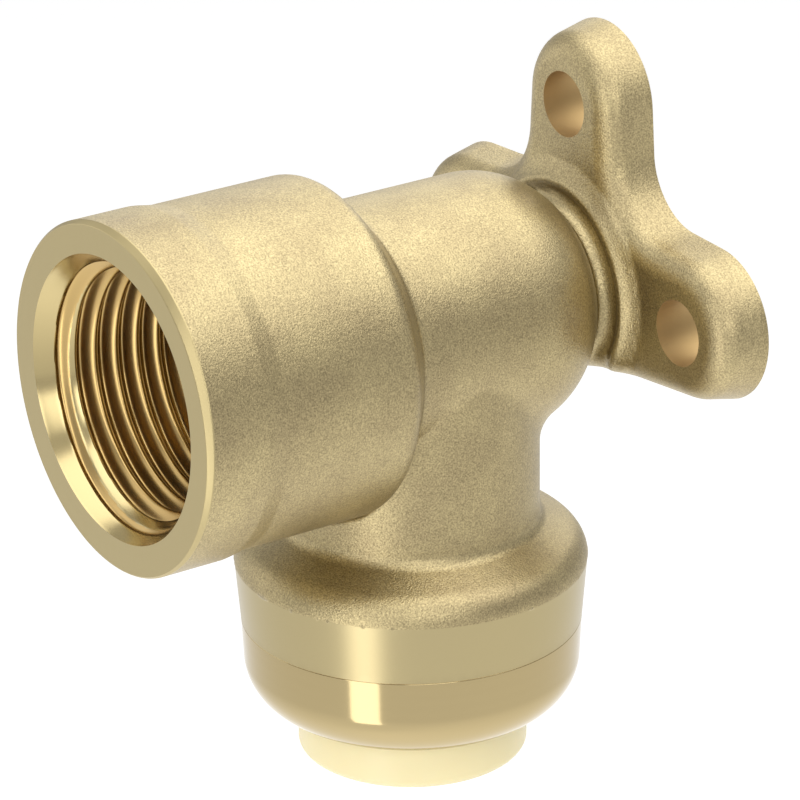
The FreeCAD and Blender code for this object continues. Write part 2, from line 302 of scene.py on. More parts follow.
# %% [markdown]
# ## The eared plate
# Three tongues reach from the hub to the screw holes. Each is a tapered capsule: the distance
# from a line whose radius shrinks towards the tip. The two valleys beside the upper tongue are
# joined with a round, which fades out below, where all three share the hub's circle. Depth then
# enters in two ways: the draft shrinks the outline towards the front, and the front edge is a
# rounded overlap of the outline and the front plane. A low ridge behind the dome runs round
# the groove at the neck and slopes down towards the ears.

# %% Distances for the plate
PLATE_THICKNESS = 4.0
PLATE_DRAFT_DEG = 12.0
PLATE_FRONT_ROUND = 1.7
HUB_RADIUS = 7.0
EAR_TIP_RADIUS = 6.0
EAR_VALLEY_ROUND = 4.6
EAR_HOLE_RADIUS = 2.6
EAR_CENTRES = np.array([(14.5, 0.3), (-14.5, 0.3), (0.0, 14.5)])
VALLEY_FADE = 4.0
RIDGE_RADIUS = 8.3
RIDGE_HEIGHT = 1.1
RIDGE_FOOT_RADIUS = 9.3
RIDGE_GROOVE_RADIUS = 7.5
RIDGE_GROOVE_HEIGHT = 0.35
RIDGE_ROUND = 0.5
RIDGE_FOOT_ROUND = 0.8

ridge_distance = turned_distance(rounded_outline([
    (PLATE_THICKNESS / 2, 0, 0),
    (PLATE_THICKNESS / 2, RIDGE_FOOT_RADIUS, 0),
    (PLATE_THICKNESS, RIDGE_FOOT_RADIUS, 0),
    (PLATE_THICKNESS + RIDGE_HEIGHT, RIDGE_RADIUS, RIDGE_ROUND),
    (PLATE_THICKNESS + RIDGE_GROOVE_HEIGHT, RIDGE_GROOVE_RADIUS, RIDGE_ROUND),
    (PLATE_THICKNESS + RIDGE_GROOVE_HEIGHT, 0, 0),
]))


def round_join(first, second, radius):
    """Union with a concave round: inside the band where both are closer than the radius, the
    surface is the circle of that radius that touches both."""
    near_first = np.maximum(radius - first, 0)
    near_second = np.maximum(radius - second, 0)
    return np.maximum(radius, np.minimum(first, second)) - np.hypot(near_first, near_second)


def round_overlap(first, second, radius):
    """Overlap with a rounded edge: the same join, turned inside out."""
    return -round_join(-first, -second, radius)


def tongue_distance(x, z, centre):
    """Flat distance from a tapered capsule: circles at hub and tip, and their common tangent."""
    reach = np.linalg.norm(centre)
    direction = centre / reach
    along = x * direction[0] + z * direction[1]
    across = np.abs(x * direction[1] - z * direction[0])
    lean = (HUB_RADIUS - EAR_TIP_RADIUS) / reach
    upright = math.sqrt(1 - lean * lean)
    slide = along * upright - across * lean
    hub = np.hypot(across, along) - HUB_RADIUS
    tip = np.hypot(across, along - reach) - EAR_TIP_RADIUS
    side = across * upright + along * lean - HUB_RADIUS
    return np.where(slide < 0, hub, np.where(slide > upright * reach, tip, side))


def plate_distance(x, y, z):
    """Drafted plate with rounded front edges, and the ridge that stands on it."""
    right, left, upper = (tongue_distance(x, z, centre) for centre in EAR_CENTRES)
    valley_round = EAR_VALLEY_ROUND * np.clip(z / VALLEY_FADE, 0, 1)
    outline = round_join(np.minimum(right, left), upper, valley_round)
    height = -y
    sides = outline + np.maximum(height, 0) * math.tan(math.radians(PLATE_DRAFT_DEG))
    ridge = ridge_distance(height, np.hypot(x, z))
    front = round_join(height - PLATE_THICKNESS, ridge, RIDGE_FOOT_ROUND)
    return round_overlap(sides, front, PLATE_FRONT_ROUND)


ear_reach = np.linalg.norm(EAR_CENTRES, axis=1) + EAR_TIP_RADIUS
print("ears reach", np.round(ear_reach, 2).tolist(), "mm from the socket's axis")

# %% [markdown]
# ## Joining and machining
# Barrel and branch meet in a saddle. Where the two run side by side the blend fades out, or
# the sides would swell, so its radius follows the angle between the two surfaces. Under the
# socket's flare the crease is tight. The cuts come last, as in the machine shop: the thread's
# bore, the tube's stepped bore, three screw holes, the wall face, the socket's end and the cap's
# spigot. Each stays a function of its own, so that its edges can be found exactly.

# %% The body as several surfaces
SADDLE_ROUND = 1.6
FLARE_CREASE_ROUND = 0.6
FLARE_FADE = 1.5
GROOVE_ROUND = 1.3
THREAD_BORE_RADIUS = 10.45
THREAD_BORE_END = 29.7
WATERWAY_RADIUS = 6.4
DRILL_POINT_DEG = 118.0
TUBE_STOP_DEPTH = 11.0
TUBE_BORE_RADIUS = 8.05
SEAL_SEAT_DEPTH = 18.4
SEAL_SEAT_RADIUS = 10.5
MOUTH_RING_START = 43.6
DRILL_REACH = PLATE_THICKNESS + PAST_CUT

drill_point = WATERWAY_RADIUS / math.tan(math.radians(DRILL_POINT_DEG / 2))
waterway_end = BRANCH_TO_WALL - WATERWAY_RADIUS
across_bore = turned_distance(np.array([
    (MOUTH_TO_WALL + PAST_CUT, THREAD_BORE_RADIUS),
    (THREAD_BORE_END, THREAD_BORE_RADIUS),
    (THREAD_BORE_END - THREAD_BORE_RADIUS + WATERWAY_RADIUS, WATERWAY_RADIUS),
    (waterway_end, WATERWAY_RADIUS),
    (waterway_end - drill_point, 0),
], float))
down_bore = turned_distance(np.array([
    (0, WATERWAY_RADIUS),
    (TUBE_STOP_DEPTH, WATERWAY_RADIUS),
    (TUBE_STOP_DEPTH, TUBE_BORE_RADIUS),
    (SEAL_SEAT_DEPTH, TUBE_BORE_RADIUS),
    (SEAL_SEAT_DEPTH, SEAL_SEAT_RADIUS),
    (SPIGOT_END + PAST_CUT, SEAL_SEAT_RADIUS),
], float))


def forged_distance(points):
    """All forged forms, joined with their own rounds."""
    x, y, z = np.moveaxis(points, -1, 0)
    from_socket_axis = np.hypot(x, z)
    from_branch_axis = np.hypot(x, y + BRANCH_TO_WALL)
    socket = socket_distance(-y, from_socket_axis)
    branch = branch_distance(-z, from_branch_axis)
    reach = from_socket_axis * from_branch_axis + SAME_POINT
    opening = np.clip(1 - x * x / reach, 0, 1)
    fade = np.clip((-y - BARREL_START) / FLARE_FADE + 1, 0, 1)
    saddle = SADDLE_ROUND + (FLARE_CREASE_ROUND - SADDLE_ROUND) * fade
    elbow = round_join(socket, branch, saddle * opening)
    return round_join(elbow, plate_distance(x, y, z), GROOVE_ROUND)


def body_surfaces(points):
    """Columns of distances, one for the forging and one for each cut. The body is where all
    of them are negative."""
    x, y, z = np.moveaxis(points, -1, 0)
    from_branch_axis = np.hypot(x, y + BRANCH_TO_WALL)
    holes = [np.hypot(x - across, z - up) for across, up in EAR_CENTRES]
    drilling = np.maximum(np.minimum.reduce(holes) - EAR_HOLE_RADIUS, -y - DRILL_REACH)
    spigot = np.minimum(-z - BAND_END, from_branch_axis - SPIGOT_RADIUS)
    return np.stack([
        forged_distance(points),
        -across_bore(-y, np.hypot(x, z)),
        -down_bore(-z, from_branch_axis),
        -drilling,
        y,
        -y - MOUTH_RING_START,
        np.maximum(spigot, -z - SPIGOT_END),
    ], axis=-1)


print("waterway's point", round(waterway_end - drill_point, 2), "mm from the wall")

# %% [markdown]
# ## A net over the field
# The field is sampled on a cubic grid. Each cell that the surface crosses gets one point, at the
# mean of the places where the surface cuts the cell's edges, and each cut edge gets a face
# between its four cells. That net has even, square faces and no tangles where forms
# meet, which marching triangles would leave.

# %% Net over the grid
GRID_STEP = 0.4
GRID_MARGIN = 1.1
SURFACE_COUNT = 7


def cut_points(values, cells):
    """Mean of the places where the surface cuts the twelve edges of each cell, in grid steps,
    and which of the body's surfaces make those cuts."""
    total = np.zeros(cells.shape)
    hits = np.zeros((len(cells), 1))
    makes_cut = np.zeros((len(cells), SURFACE_COUNT), bool)
    for axis in range(3):
        unit = np.eye(3, dtype=int)[axis]
        sides = np.delete(np.eye(3, dtype=int), axis, axis=0)
        for first in (0, 1):
            for second in (0, 1):
                start = cells + first * sides[0] + second * sides[1]
                here = values[tuple(start.T)]
                there = values[tuple((start + unit).T)]
                is_cut = (here < 0) != (there < 0)
                share = np.where(is_cut, here / np.where(is_cut, here - there, 1), 0)
                place = start + share[:, None] * unit
                total += is_cut[:, None] * place
                hits += is_cut[:, None]
                cutter = body_surfaces(grid_low + GRID_STEP * place[is_cut]).argmax(axis=1)
                makes_cut[np.flatnonzero(is_cut), cutter] = True
    return total / hits, makes_cut


def net_faces(inside, number):
    """A face for each grid edge with one end inside, between the four cells round that edge."""
    faces = []
    for axis in range(3):
        unit = np.eye(3, dtype=int)
        first = unit[(axis + 1) % 3]
        second = unit[(axis + 2) % 3]
        change = np.diff(inside.astype(np.int8), axis=axis)
        for turn, order in ((-1, slice(None)), (1, slice(None, None, -1))):
            edges = np.argwhere(change == turn)
            around = (edges - first - second, edges - second, edges, edges - first)
            quads = np.stack([number[tuple(cell.T)] for cell in around], axis=-1)
            faces.append(quads[:, order])
    return np.concatenate(faces)


cad_low, cad_high = (np.array(corner) * MM_PER_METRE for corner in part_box("body"))
grid_low = cad_low - GRID_MARGIN
grid_counts = np.ceil((cad_high + GRID_MARGIN - grid_low) / GRID_STEP).astype(int)
grid_lines = [grid_low[axis] + GRID_STEP * np.arange(grid_counts[axis]) for axis in range(3)]
values = np.empty(grid_counts)
for index, x in enumerate(grid_lines[0]):
    layer = np.stack(np.meshgrid(x, *grid_lines[1:], indexing="ij"), axis=-1)[0]
    values[index] = body_surfaces(layer).max(axis=-1)
inside = values < 0
corner_count = np.zeros(grid_counts - 1, int)
for shift in np.ndindex(2, 2, 2):
    corner_count += inside[tuple(slice(s, s + n - 1) for s, n in zip(shift, grid_counts))]
crossed = (corner_count > 0) & (corner_count < 8)
cells = np.argwhere(crossed)
number = np.full(crossed.shape, -1)
number[crossed] = np.arange(len(cells))
cut_means, on_surface = cut_points(values, cells)
body_points = grid_low + GRID_STEP * cut_means
body_quads = net_faces(inside, number)
print("grid", grid_counts.tolist(), "net points", len(body_points), "faces", len(body_quads))

# %% [markdown]
# ## Settling the net
# The net lies close to the surface but not on it, and it cuts corners off at machined edges.
# Newton's method mends both. Each point knows which surfaces cross its cell. On one surface it
# slides down that surface's slope until its distance is zero; on two it moves to the line
# where both distances are zero, so every drilled edge comes out as a true circle.

# %% Newton steps
SLOPE_STEP = 0.03
LONGEST_STEP = 0.6 * GRID_STEP
DAMPING = 1e-4
NEWTON_ROUNDS = 8


def surface_slopes(points):
    """Slope of every distance: half the difference between both sides, along each axis."""
    slopes = []
    for nudge in np.eye(3) * SLOPE_STEP:
        rise = body_surfaces(points + nudge) - body_surfaces(points - nudge)
        slopes.append(rise / (2 * SLOPE_STEP))
    return np.stack(slopes, axis=-1)


def newton_step(points):
    """The shortest step that brings the distances of a point's own surfaces to zero: least
    squares over their slopes, with a little damping where there are fewer than three."""
    miss = body_surfaces(points) * on_surface
    slopes = surface_slopes(points) * on_surface[..., None]
    square = np.einsum("nki,nkj->nij", slopes, slopes) + DAMPING * np.eye(3)
    pull = np.einsum("nki,nk->ni", slopes, miss)
    step = np.linalg.solve(square, pull[..., None])[..., 0]
    length = np.linalg.norm(step, axis=1, keepdims=True)
    return step * np.minimum(1, LONGEST_STEP / np.maximum(length, SAME_POINT))


for _ in range(NEWTON_ROUNDS):
    body_points = body_points - newton_step(body_points)
miss = np.abs(body_surfaces(body_points).max(axis=1))
print("farthest from the surface", round(float(miss.max()), 3), "mm")
print("mean distance", round(float(miss.mean()), 5), "mm")
print("points on edges", int((on_surface.sum(axis=1) > 1).sum()))

# %% [markdown]
# ## Materials
# The body is brass, hot-forged and shot-blasted: matt, pale, pebbled by the shot. Where the
# lathe has cut it the brass is smooth and shows fine rings. The cap is turned and polished. The
# collar is moulded ivory acetal. One small function adds a node and fills its sockets, and one
# turns a colour as written into the linear numbers that shaders use.

# %% Helpers for materials


def linear(colour):
    """Linear red, green, blue from an sRGB hex colour, by the sRGB standard's curve: a straight
    run near black and a power above it. Alpha is full."""
    channels = np.array([int(colour[place:place + 2], 16) for place in (1, 3, 5)]) / 255
    low = channels / 12.92
    high = ((channels + 0.055) / 1.055) ** 2.4
    return (*np.where(channels <= 0.04045, low, high).tolist(), 1.0)


def add_node(tree, kind, sockets, **settings):
    """Adds a node with its settings. A socket is linked where it is given another node's
    output, and otherwise set to the value."""
    node = tree.nodes.new(kind)
    for setting, value in settings.items():
        setattr(node, setting, value)
    for socket, value in sockets.items():
        if isinstance(value, bpy.types.NodeSocket):
            tree.links.new(value, node.inputs[socket])
        else:
            node.inputs[socket].default_value = value
    return node


def new_material(name):
    """An empty material: its tree, its surface shader and Object coordinates."""
    material = bpy.data.materials.new(name)
    material.use_nodes = True
    tree = material.node_tree
    shader = tree.nodes["Principled BSDF"]
    coordinates = add_node(tree, "ShaderNodeTexCoord", {}).outputs["Object"]
    return material, tree, shader, coordinates


def per_millimetre(size):
    """Texture scale, in repeats per metre, for a pattern of this size in millimetres."""
    return MM_PER_METRE / size


print("middle grey in linear light", np.round(linear("#808080"), 3).tolist())

# %% [markdown]
# ### Forged brass, shot-blasted
# Fine shot leaves a sandy skin: pits about a quarter of a millimetre wide that scatter the light,
# with facets that glitter and hollows that stay dark. So one fine noise drives both the bump and a
# speckle in the colour: painted shade in the hollows and painted glints on the raised grain. Oxide
# is left in slow patches, which makes the colour wander between pale gold and olive. Below the
# shoulder the lathe has taken the blasted skin off, so there the same material turns smooth and
# bright.

# %% Forged brass
GRAIN_SIZE = 0.13
GRAIN_DEPTH = 0.028
GRAIN_SPAN = (0.25, 0.75)
# How far the painted pit shade and painted glints darken and lighten the colour.
PIT_SHADE_AND_GLINT_SPAN = (0.66, 1.34)
SWELL_SIZE = 0.5
SWELL_DEPTH = 0.014
SKIN_DETAIL = 1.0
PATCH_SIZE = 5.0
PATCH_DETAIL = 4.0
PATCH_ROUGHNESS = 0.6
PATCH_COLOURS = ((0.3, "#9e8f6c"), (0.7, "#b0a179"))
BLASTED_ROUGHNESS = 0.42
BAND_COLOUR = "#ab9d76"
BAND_ROUGHNESS = 0.28
BAND_EDGE = 0.05


def forged_brass():
    """Metal with a sandy, glittering skin, painted shade and glints in its grain, and slow patches of
    colour.
    """
    material, tree, shader, place = new_material("brass_hot_forged_shot_blasted")
    grain = add_node(tree, "ShaderNodeTexNoise", {
        "Vector": place, "Scale": per_millimetre(GRAIN_SIZE), "Detail": SKIN_DETAIL,
    }).outputs["Fac"]
    swell = add_node(tree, "ShaderNodeTexNoise", {
        "Vector": place, "Scale": per_millimetre(SWELL_SIZE), "Detail": SKIN_DETAIL,
    }).outputs["Fac"]
    patches = add_node(tree, "ShaderNodeTexNoise", {
        "Vector": place, "Scale": per_millimetre(PATCH_SIZE),
        "Detail": PATCH_DETAIL, "Roughness": PATCH_ROUGHNESS,
    }).outputs["Fac"]
    colours = add_node(tree, "ShaderNodeValToRGB", {"Fac": patches})
    for stop, (position, colour) in zip(colours.color_ramp.elements, PATCH_COLOURS):
        stop.position = position
        stop.color = linear(colour)
    # Painted shade and painted glints: the colour is darker where the grain is low, in the pits, and
    # lighter where it is high, on the raised grain.
    pit_shade_and_glint = add_node(tree, "ShaderNodeMapRange", {
        "Value": grain,
        "From Min": GRAIN_SPAN[0], "From Max": GRAIN_SPAN[1],
        "To Min": PIT_SHADE_AND_GLINT_SPAN[0], "To Max": PIT_SHADE_AND_GLINT_SPAN[1],
    })
    skin = add_node(tree, "ShaderNodeMix", {
        "Factor": 1.0, "A": colours.outputs["Color"], "B": pit_shade_and_glint.outputs["Result"],
    }, data_type="RGBA", blend_type="MULTIPLY")
    swollen = add_node(tree, "ShaderNodeBump", {
        "Height": swell, "Distance": SWELL_DEPTH / MM_PER_METRE,
    })
    grainy = add_node(tree, "ShaderNodeBump", {
        "Height": grain, "Distance": GRAIN_DEPTH / MM_PER_METRE, "Normal": swollen.outputs["Normal"],
    })
    height = add_node(tree, "ShaderNodeSeparateXYZ", {"Vector": place}).outputs["Z"]
    blasted = add_node(tree, "ShaderNodeMapRange", {
        "Value": height,
        "From Min": (-FORGED_END - BAND_EDGE) / MM_PER_METRE,
        "From Max": -FORGED_END / MM_PER_METRE,
    }).outputs["Result"]
    tree.links.new(blasted, swollen.inputs["Strength"])
    tree.links.new(blasted, grainy.inputs["Strength"])
    colour = add_node(tree, "ShaderNodeMix", {
        "Factor": blasted, "A": linear(BAND_COLOUR), "B": skin.outputs["Result"],
    }, data_type="RGBA")
    gloss = add_node(tree, "ShaderNodeMapRange", {
        "Value": blasted, "To Min": BAND_ROUGHNESS, "To Max": BLASTED_ROUGHNESS,
    })
    tree.links.new(colour.outputs["Result"], shader.inputs["Base Color"])
    tree.links.new(gloss.outputs["Result"], shader.inputs["Roughness"])
    tree.links.new(grainy.outputs["Normal"], shader.inputs["Normal"])
    shader.inputs["Metallic"].default_value = 1.0
    return material


# It gives the eye a matt, sandy gold that glitters where it turns to the light, partly through
# the bump and partly through painted glints and painted shade in the grain, and a smooth bright
# belt below.
forged = forged_brass()
print("grain", GRAIN_SIZE, "mm wide and", GRAIN_DEPTH, "mm deep")

# %% [markdown]
# ### Turned brass
# A lathe tool leaves fine rings. On the real part they are a few hundredths of a millimetre
# apart, too fine to show, so they are drawn about a millimetre apart and very shallow. How
# bright each cut looks depends on the tool: a countersink and a polished cap mirror the lamps,
# a drilled hole is dull. So one function takes the colour and the roughness. At a scale of one,
# the wave node draws twenty bands in every two pi units of length.

# %% Turned brass
LATHE_RING_PITCH = 1.005
LATHE_RING_DEPTH = 0.0012
LATHE_RING_WANDER = 0.6
LATHE_RING_DETAIL = 1.0
WAVE_BANDS = 20 / (2 * math.pi)


def turned_brass(name, colour, roughness, ring_axis):
    """Smooth metal with faint rings at even steps along an axis."""
    material, tree, shader, place = new_material(name)
    rings = add_node(tree, "ShaderNodeTexWave", {
        "Vector": place, "Scale": per_millimetre(LATHE_RING_PITCH) / WAVE_BANDS,
        "Distortion": LATHE_RING_WANDER, "Detail": LATHE_RING_DETAIL,
    }, bands_direction=ring_axis)
    bump = add_node(tree, "ShaderNodeBump", {
        "Height": rings.outputs["Fac"], "Distance": LATHE_RING_DEPTH / MM_PER_METRE,
    })
    tree.links.new(bump.outputs["Normal"], shader.inputs["Normal"])
    shader.inputs["Base Color"].default_value = linear(colour)
    shader.inputs["Metallic"].default_value = 1.0
    shader.inputs["Roughness"].default_value = roughness
    return material


# The bores are clean pale gold with soft streaks of light.
bored = turned_brass("brass_bored", "#c9b27a", 0.3, "Y")
# The screw holes are dull, because the drill scores them, and a darker, browner gold than the bores.
drilled = turned_brass("brass_drilled", "#b3986a", 0.55, "Y")
# The mouth's face is an even, satin grey-gold.
faced = turned_brass("brass_faced_on_the_lathe", "#ae9f75", 0.38, "X")
# The countersink flashes where it turns to a lamp.
countersunk = turned_brass("brass_countersunk", "#b9a87a", 0.2, "Y")
# The thread is a darker, warmer gold than the bores: painted shade for the light that bounces
# between its mirroring flanks and turns amber in the valleys.
thread_brass_painted_shade = turned_brass("brass_thread_cut_painted_shade", "#b89c66", 0.25, "Y")
# The cap is a near mirror with crisp edges round each lamp.
polished = turned_brass("brass_turned_polished", "#ab9a72", 0.11, "Z")
print("rings drawn", LATHE_RING_PITCH, "mm apart and", LATHE_RING_DEPTH, "mm deep")

# %% [markdown]
# ### Plastics, steel and rubber
# The collar is moulded acetal, an ivory plastic that looks waxy because a little light goes
# into it. The spacer is the same kind of plastic, uncoloured. The grab ring is
# stamped from bright spring steel, and the seal is matt black rubber. Their surfaces differ in
# colour, gloss and how much the mould's texture shows, so one function makes them all.

# %% Moulded and stamped finishes
MOULD_TEXTURE_SIZE = 0.5
MOULD_TEXTURE_DEPTH = 0.004
SHADE_PATCH_SIZE = 6.0
SHADE_DETAIL = 3.0
WAX_SHARE = 0.25
WAX_REACH = (1.0, 0.8, 0.5)
WAX_DEPTH = 0.8


def plain_finish(name, pale, dark, roughness, metallic=0.0, wax_depth=0.0):
    """Colour that drifts between two shades, over a faintly uneven surface."""
    material, tree, shader, place = new_material(name)
    drift = add_node(tree, "ShaderNodeTexNoise", {
        "Vector": place, "Scale": per_millimetre(SHADE_PATCH_SIZE), "Detail": SHADE_DETAIL,
    })
    shades = add_node(tree, "ShaderNodeMix", {
        "Factor": drift.outputs["Fac"], "A": linear(dark), "B": linear(pale),
    }, data_type="RGBA")
    texture = add_node(tree, "ShaderNodeTexNoise", {
        "Vector": place, "Scale": per_millimetre(MOULD_TEXTURE_SIZE), "Detail": SHADE_DETAIL,
    })
    bump = add_node(tree, "ShaderNodeBump", {
        "Height": texture.outputs["Fac"], "Distance": MOULD_TEXTURE_DEPTH / MM_PER_METRE,
    })
    tree.links.new(shades.outputs["Result"], shader.inputs["Base Color"])
    tree.links.new(bump.outputs["Normal"], shader.inputs["Normal"])
    shader.inputs["Metallic"].default_value = metallic
    shader.inputs["Roughness"].default_value = roughness
    if wax_depth > 0:
        shader.inputs["Subsurface Weight"].default_value = WAX_SHARE
        shader.inputs["Subsurface Radius"].default_value = WAX_REACH
        shader.inputs["Subsurface Scale"].default_value = wax_depth / MM_PER_METRE
    return material


# The collar is creamy and waxy, with a broad soft shine.
ivory_acetal = plain_finish("acetal_ivory_moulded", "#f2e6b8", "#ecdeac", 0.38, wax_depth=WAX_DEPTH)
# The spacer is milky and a little duller.
spacer_plastic = plain_finish("acetal_natural_moulded", "#e6e3da", "#d9d5ca", 0.45, wax_depth=WAX_DEPTH)
# The grab ring is a bright cold grey that mirrors the bore.
spring_steel = plain_finish("stainless_spring_steel_stamped", "#c4c4c2", "#b4b4b3", 0.25, metallic=1.0)
# The seal is soft black without any sharp light on it.
seal_rubber = plain_finish("rubber_black_moulded", "#232323", "#191919", 0.55)
print("materials", [material.name for material in bpy.data.materials])

# %% [markdown]
# ## The brass body
# The settled net becomes one mesh. Its shading normals are the slopes of the
# surface that each face belongs to, so that rounds look smooth and machined edges stay crisp.

# %% Body mesh
BODY_FINISHES = (forged, bored, bored, drilled, forged, forged, bored)

body = make_piece("forged_body", body_points, body_quads, "fitting")
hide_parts("body")
for finish in (forged, bored, drilled):
    body.data.materials.append(finish)
face_points = body_points[body_quads]
face_surface = body_surfaces(face_points.mean(axis=1)).argmax(axis=1)
finish_index = np.array([(forged, bored, drilled).index(finish) for finish in BODY_FINISHES])
body.data.polygons.foreach_set("material_index", finish_index[face_surface])
slopes = surface_slopes(body_points)
face_slopes = slopes[body_quads, face_surface[:, None]]
face_slopes /= np.linalg.norm(face_slopes, axis=-1, keepdims=True)
body.data.normals_split_custom_set(face_slopes.reshape(-1, 3))
print("faces by cut", np.bincount(face_surface, minlength=SURFACE_COUNT).tolist())

# %% [markdown]
# ## Mouth ring
# The socket's face is cut square on the lathe. Its outer edge is finer than the net, so the last
# stretch of the socket is a turned ring of its own. The forging was not quite round under the
# tool, so the broken edge is broad at the upper right and almost sharp at the left: two outlines
# with a small and a large bevel are mixed, by how far round each column is. The rim outside keeps
# the forged skin, and only the cut faces are smooth.

# %% Mouth ring
SMALL_BEVEL = 0.1
LARGE_BEVEL = 0.5
BEVEL_ROUND_SHARE = 0.35
BEVEL_MIDDLE_DEG = 40.0
MOUTH_RADIUS = 11.0


def mouth_outline(bevel):
    """The ring's outline with an outer edge broken by this bevel."""
    edge_round = bevel * BEVEL_ROUND_SHARE
    return rounded_outline([
        (MOUTH_RING_START, MOUTH_RADIUS, 0),
        (MOUTH_RING_START, RIM_RADIUS, 0),
        (MOUTH_TO_WALL - bevel, RIM_RADIUS, edge_round),
        (MOUTH_TO_WALL, RIM_RADIUS - bevel, edge_round),
        (MOUTH_TO_WALL, MOUTH_RADIUS, 0),
    ])


sharp_outline = mouth_outline(SMALL_BEVEL)
broad_outline = mouth_outline(LARGE_BEVEL)
angle = np.arange(TURN_STEPS)[None] * 2 * math.pi / TURN_STEPS
broad_share = (0.5 + 0.5 * np.cos(angle - math.radians(BEVEL_MIDDLE_DEG))) ** 2
ring_distance, ring_radius = (
    sharp_outline[:, [column]] * (1 - broad_share) + broad_outline[:, [column]] * broad_share
    for column in (0, 1))
ring_points = round_socket(ring_distance, ring_radius, angle).reshape(-1, 3)
ring_faces = closed_grid_faces(len(sharp_outline), TURN_STEPS)
mouth_ring = make_piece("mouth_ring", ring_points, ring_faces, "fitting")
mouth_ring.data.materials.append(forged)
mouth_ring.data.materials.append(faced)
row_middle = (sharp_outline + np.roll(sharp_outline, -1, axis=0)) / 2
is_cut = row_middle[:, 1] < RIM_RADIUS - SAME_POINT
mouth_ring.data.polygons.foreach_set("material_index", np.repeat(is_cut.astype(int), TURN_STEPS))

# %% [markdown]
# ## Pipe thread
# The socket has a half-inch tapered pipe thread: fourteen turns to the inch, narrowing by one
# part in sixteen. A screw modifier on a drawn tooth could make it. Here the radius is one
# formula of depth and turning angle: a wave whose phase grows with both, which is what makes it
# a right-handed helix. Its crests are rounded, as tumbling leaves them. A countersink has cut the
# first turn at the mouth, so the radius is the wave's or that cone's, whichever is wider, with the
# edge between them softened by a small length under a square root. A wall behind the thread,
# buried in the body, closes the sleeve.

# %% Thread sleeve
MM_PER_INCH = 25.4
TURNS_PER_INCH = 14
THREAD_PITCH = MM_PER_INCH / TURNS_PER_INCH
THREAD_TAPER = 1 / 32
THREAD_HEIGHT = 1.0
THREAD_PHASE = 0.45
THREAD_FADE = 1.1
THREAD_ROW = 0.06
THREAD_EDGE = 0.1
SLEEVE_WALL = 0.35
SLEEVE_END = 15.3
COUNTERSINK_SLOPE = 0.577
THREAD_TURN_STEPS = 224


def wave_radius(depth, angle):
    """Root radius less a wave along the helix, which dies out at the thread's end."""
    phase = depth / THREAD_PITCH + angle / (2 * math.pi) - THREAD_PHASE
    tooth = 0.5 - 0.5 * np.cos(2 * math.pi * phase)
    fade_out = np.clip((SLEEVE_END - depth) / THREAD_FADE, 0, 1)
    return THREAD_BORE_RADIUS - THREAD_TAPER * depth - THREAD_HEIGHT * tooth * fade_out


angle = np.arange(THREAD_TURN_STEPS)[None] * 2 * math.pi / THREAD_TURN_STEPS
depth = np.arange(0, SLEEVE_END, THREAD_ROW)[:, None]
wave = wave_radius(depth, angle)
cone = MOUTH_RADIUS - COUNTERSINK_SLOPE * depth
softened = np.hypot(wave - cone, np.minimum(depth, THREAD_EDGE))
inner = (wave + cone + softened) / 2
outer = np.full((2, THREAD_TURN_STEPS), MOUTH_RADIUS + SLEEVE_WALL)
sleeve_depth = np.concatenate([depth, depth[-1:], depth[:1] + SLEEVE_WALL])
sleeve_radius = np.concatenate([inner, outer])
sleeve_points = round_socket(MOUTH_TO_WALL - sleeve_depth, sleeve_radius, angle).reshape(-1, 3)
sleeve_faces = closed_grid_faces(len(sleeve_depth), THREAD_TURN_STEPS)
thread = make_piece("pipe_thread", sleeve_points, sleeve_faces, "fitting")
thread.data.materials.append(thread_brass_painted_shade)
thread.data.materials.append(countersunk)
is_cone = np.zeros((len(sleeve_depth), THREAD_TURN_STEPS), int)
is_cone[:len(depth)] = wave < cone
thread.data.polygons.foreach_set("material_index", is_cone.ravel())

# %% [markdown]
# ## Retaining cap
# The cap is turned, pressed over the spigot and swaged. Outside it is one smooth dome; inside it
# has the skirt's bore, the collar's cavity and the lip. One closed outline turned round the
# branch holds all of that. A small round at its upper edge leaves the fine seam against the band.

# %% Retaining cap
CAP_DOME_START = 27.2
CAP_DOME_RADIUS = 4.2
CAP_DOME_TOP_RADIUS = 13.14
CAP_MOUTH_RADIUS = 9.25
CAP_CAVITY_RADIUS = 10.3
CAP_LIP_TOP = 30.2
RING_SEAT = 27.1
CAP_SEAM_ROUND = 0.1


def cap_dome():
    """Quarter circle from the cap's side towards its end, stopped by the mouth."""
    centre = CAP_DOME_TOP_RADIUS - CAP_DOME_RADIUS
    turn_end = math.acos((CAP_MOUTH_RADIUS - centre) / CAP_DOME_RADIUS)
    turn = np.linspace(0, turn_end, int(math.degrees(turn_end) / ARC_STEP_DEG))
    depth = CAP_DOME_START + CAP_DOME_RADIUS * np.sin(turn)
    return np.stack([depth, centre + CAP_DOME_RADIUS * np.cos(turn)], axis=-1)


cap_outside = [(depth, radius, 0) for depth, radius in cap_dome()]
cap_outline = rounded_outline(cap_outside + [
    (CAP_LIP_TOP, CAP_MOUTH_RADIUS, 0),
    (CAP_LIP_TOP, CAP_CAVITY_RADIUS, 0),
    (RING_SEAT, CAP_CAVITY_RADIUS, 0),
    (RING_SEAT, SPIGOT_RADIUS, 0),
    (BAND_END, SPIGOT_RADIUS, 0),
    (BAND_END, BAND_END_RADIUS, CAP_SEAM_ROUND),
])
cap = turned_piece("turned_cap", cap_outline, round_branch, "fitting")
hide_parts("retaining_cap")
cap.data.materials.append(polished)

# %% [markdown]
# ## Release collar
# The collar is a moulded sleeve with a flange inside the cap. Its lower edge is well
# rounded for the thumb, and its nose above is tapered so that it slips under the teeth. It slides
# on its own, so it rides on the collar's body and not on the fitting's.

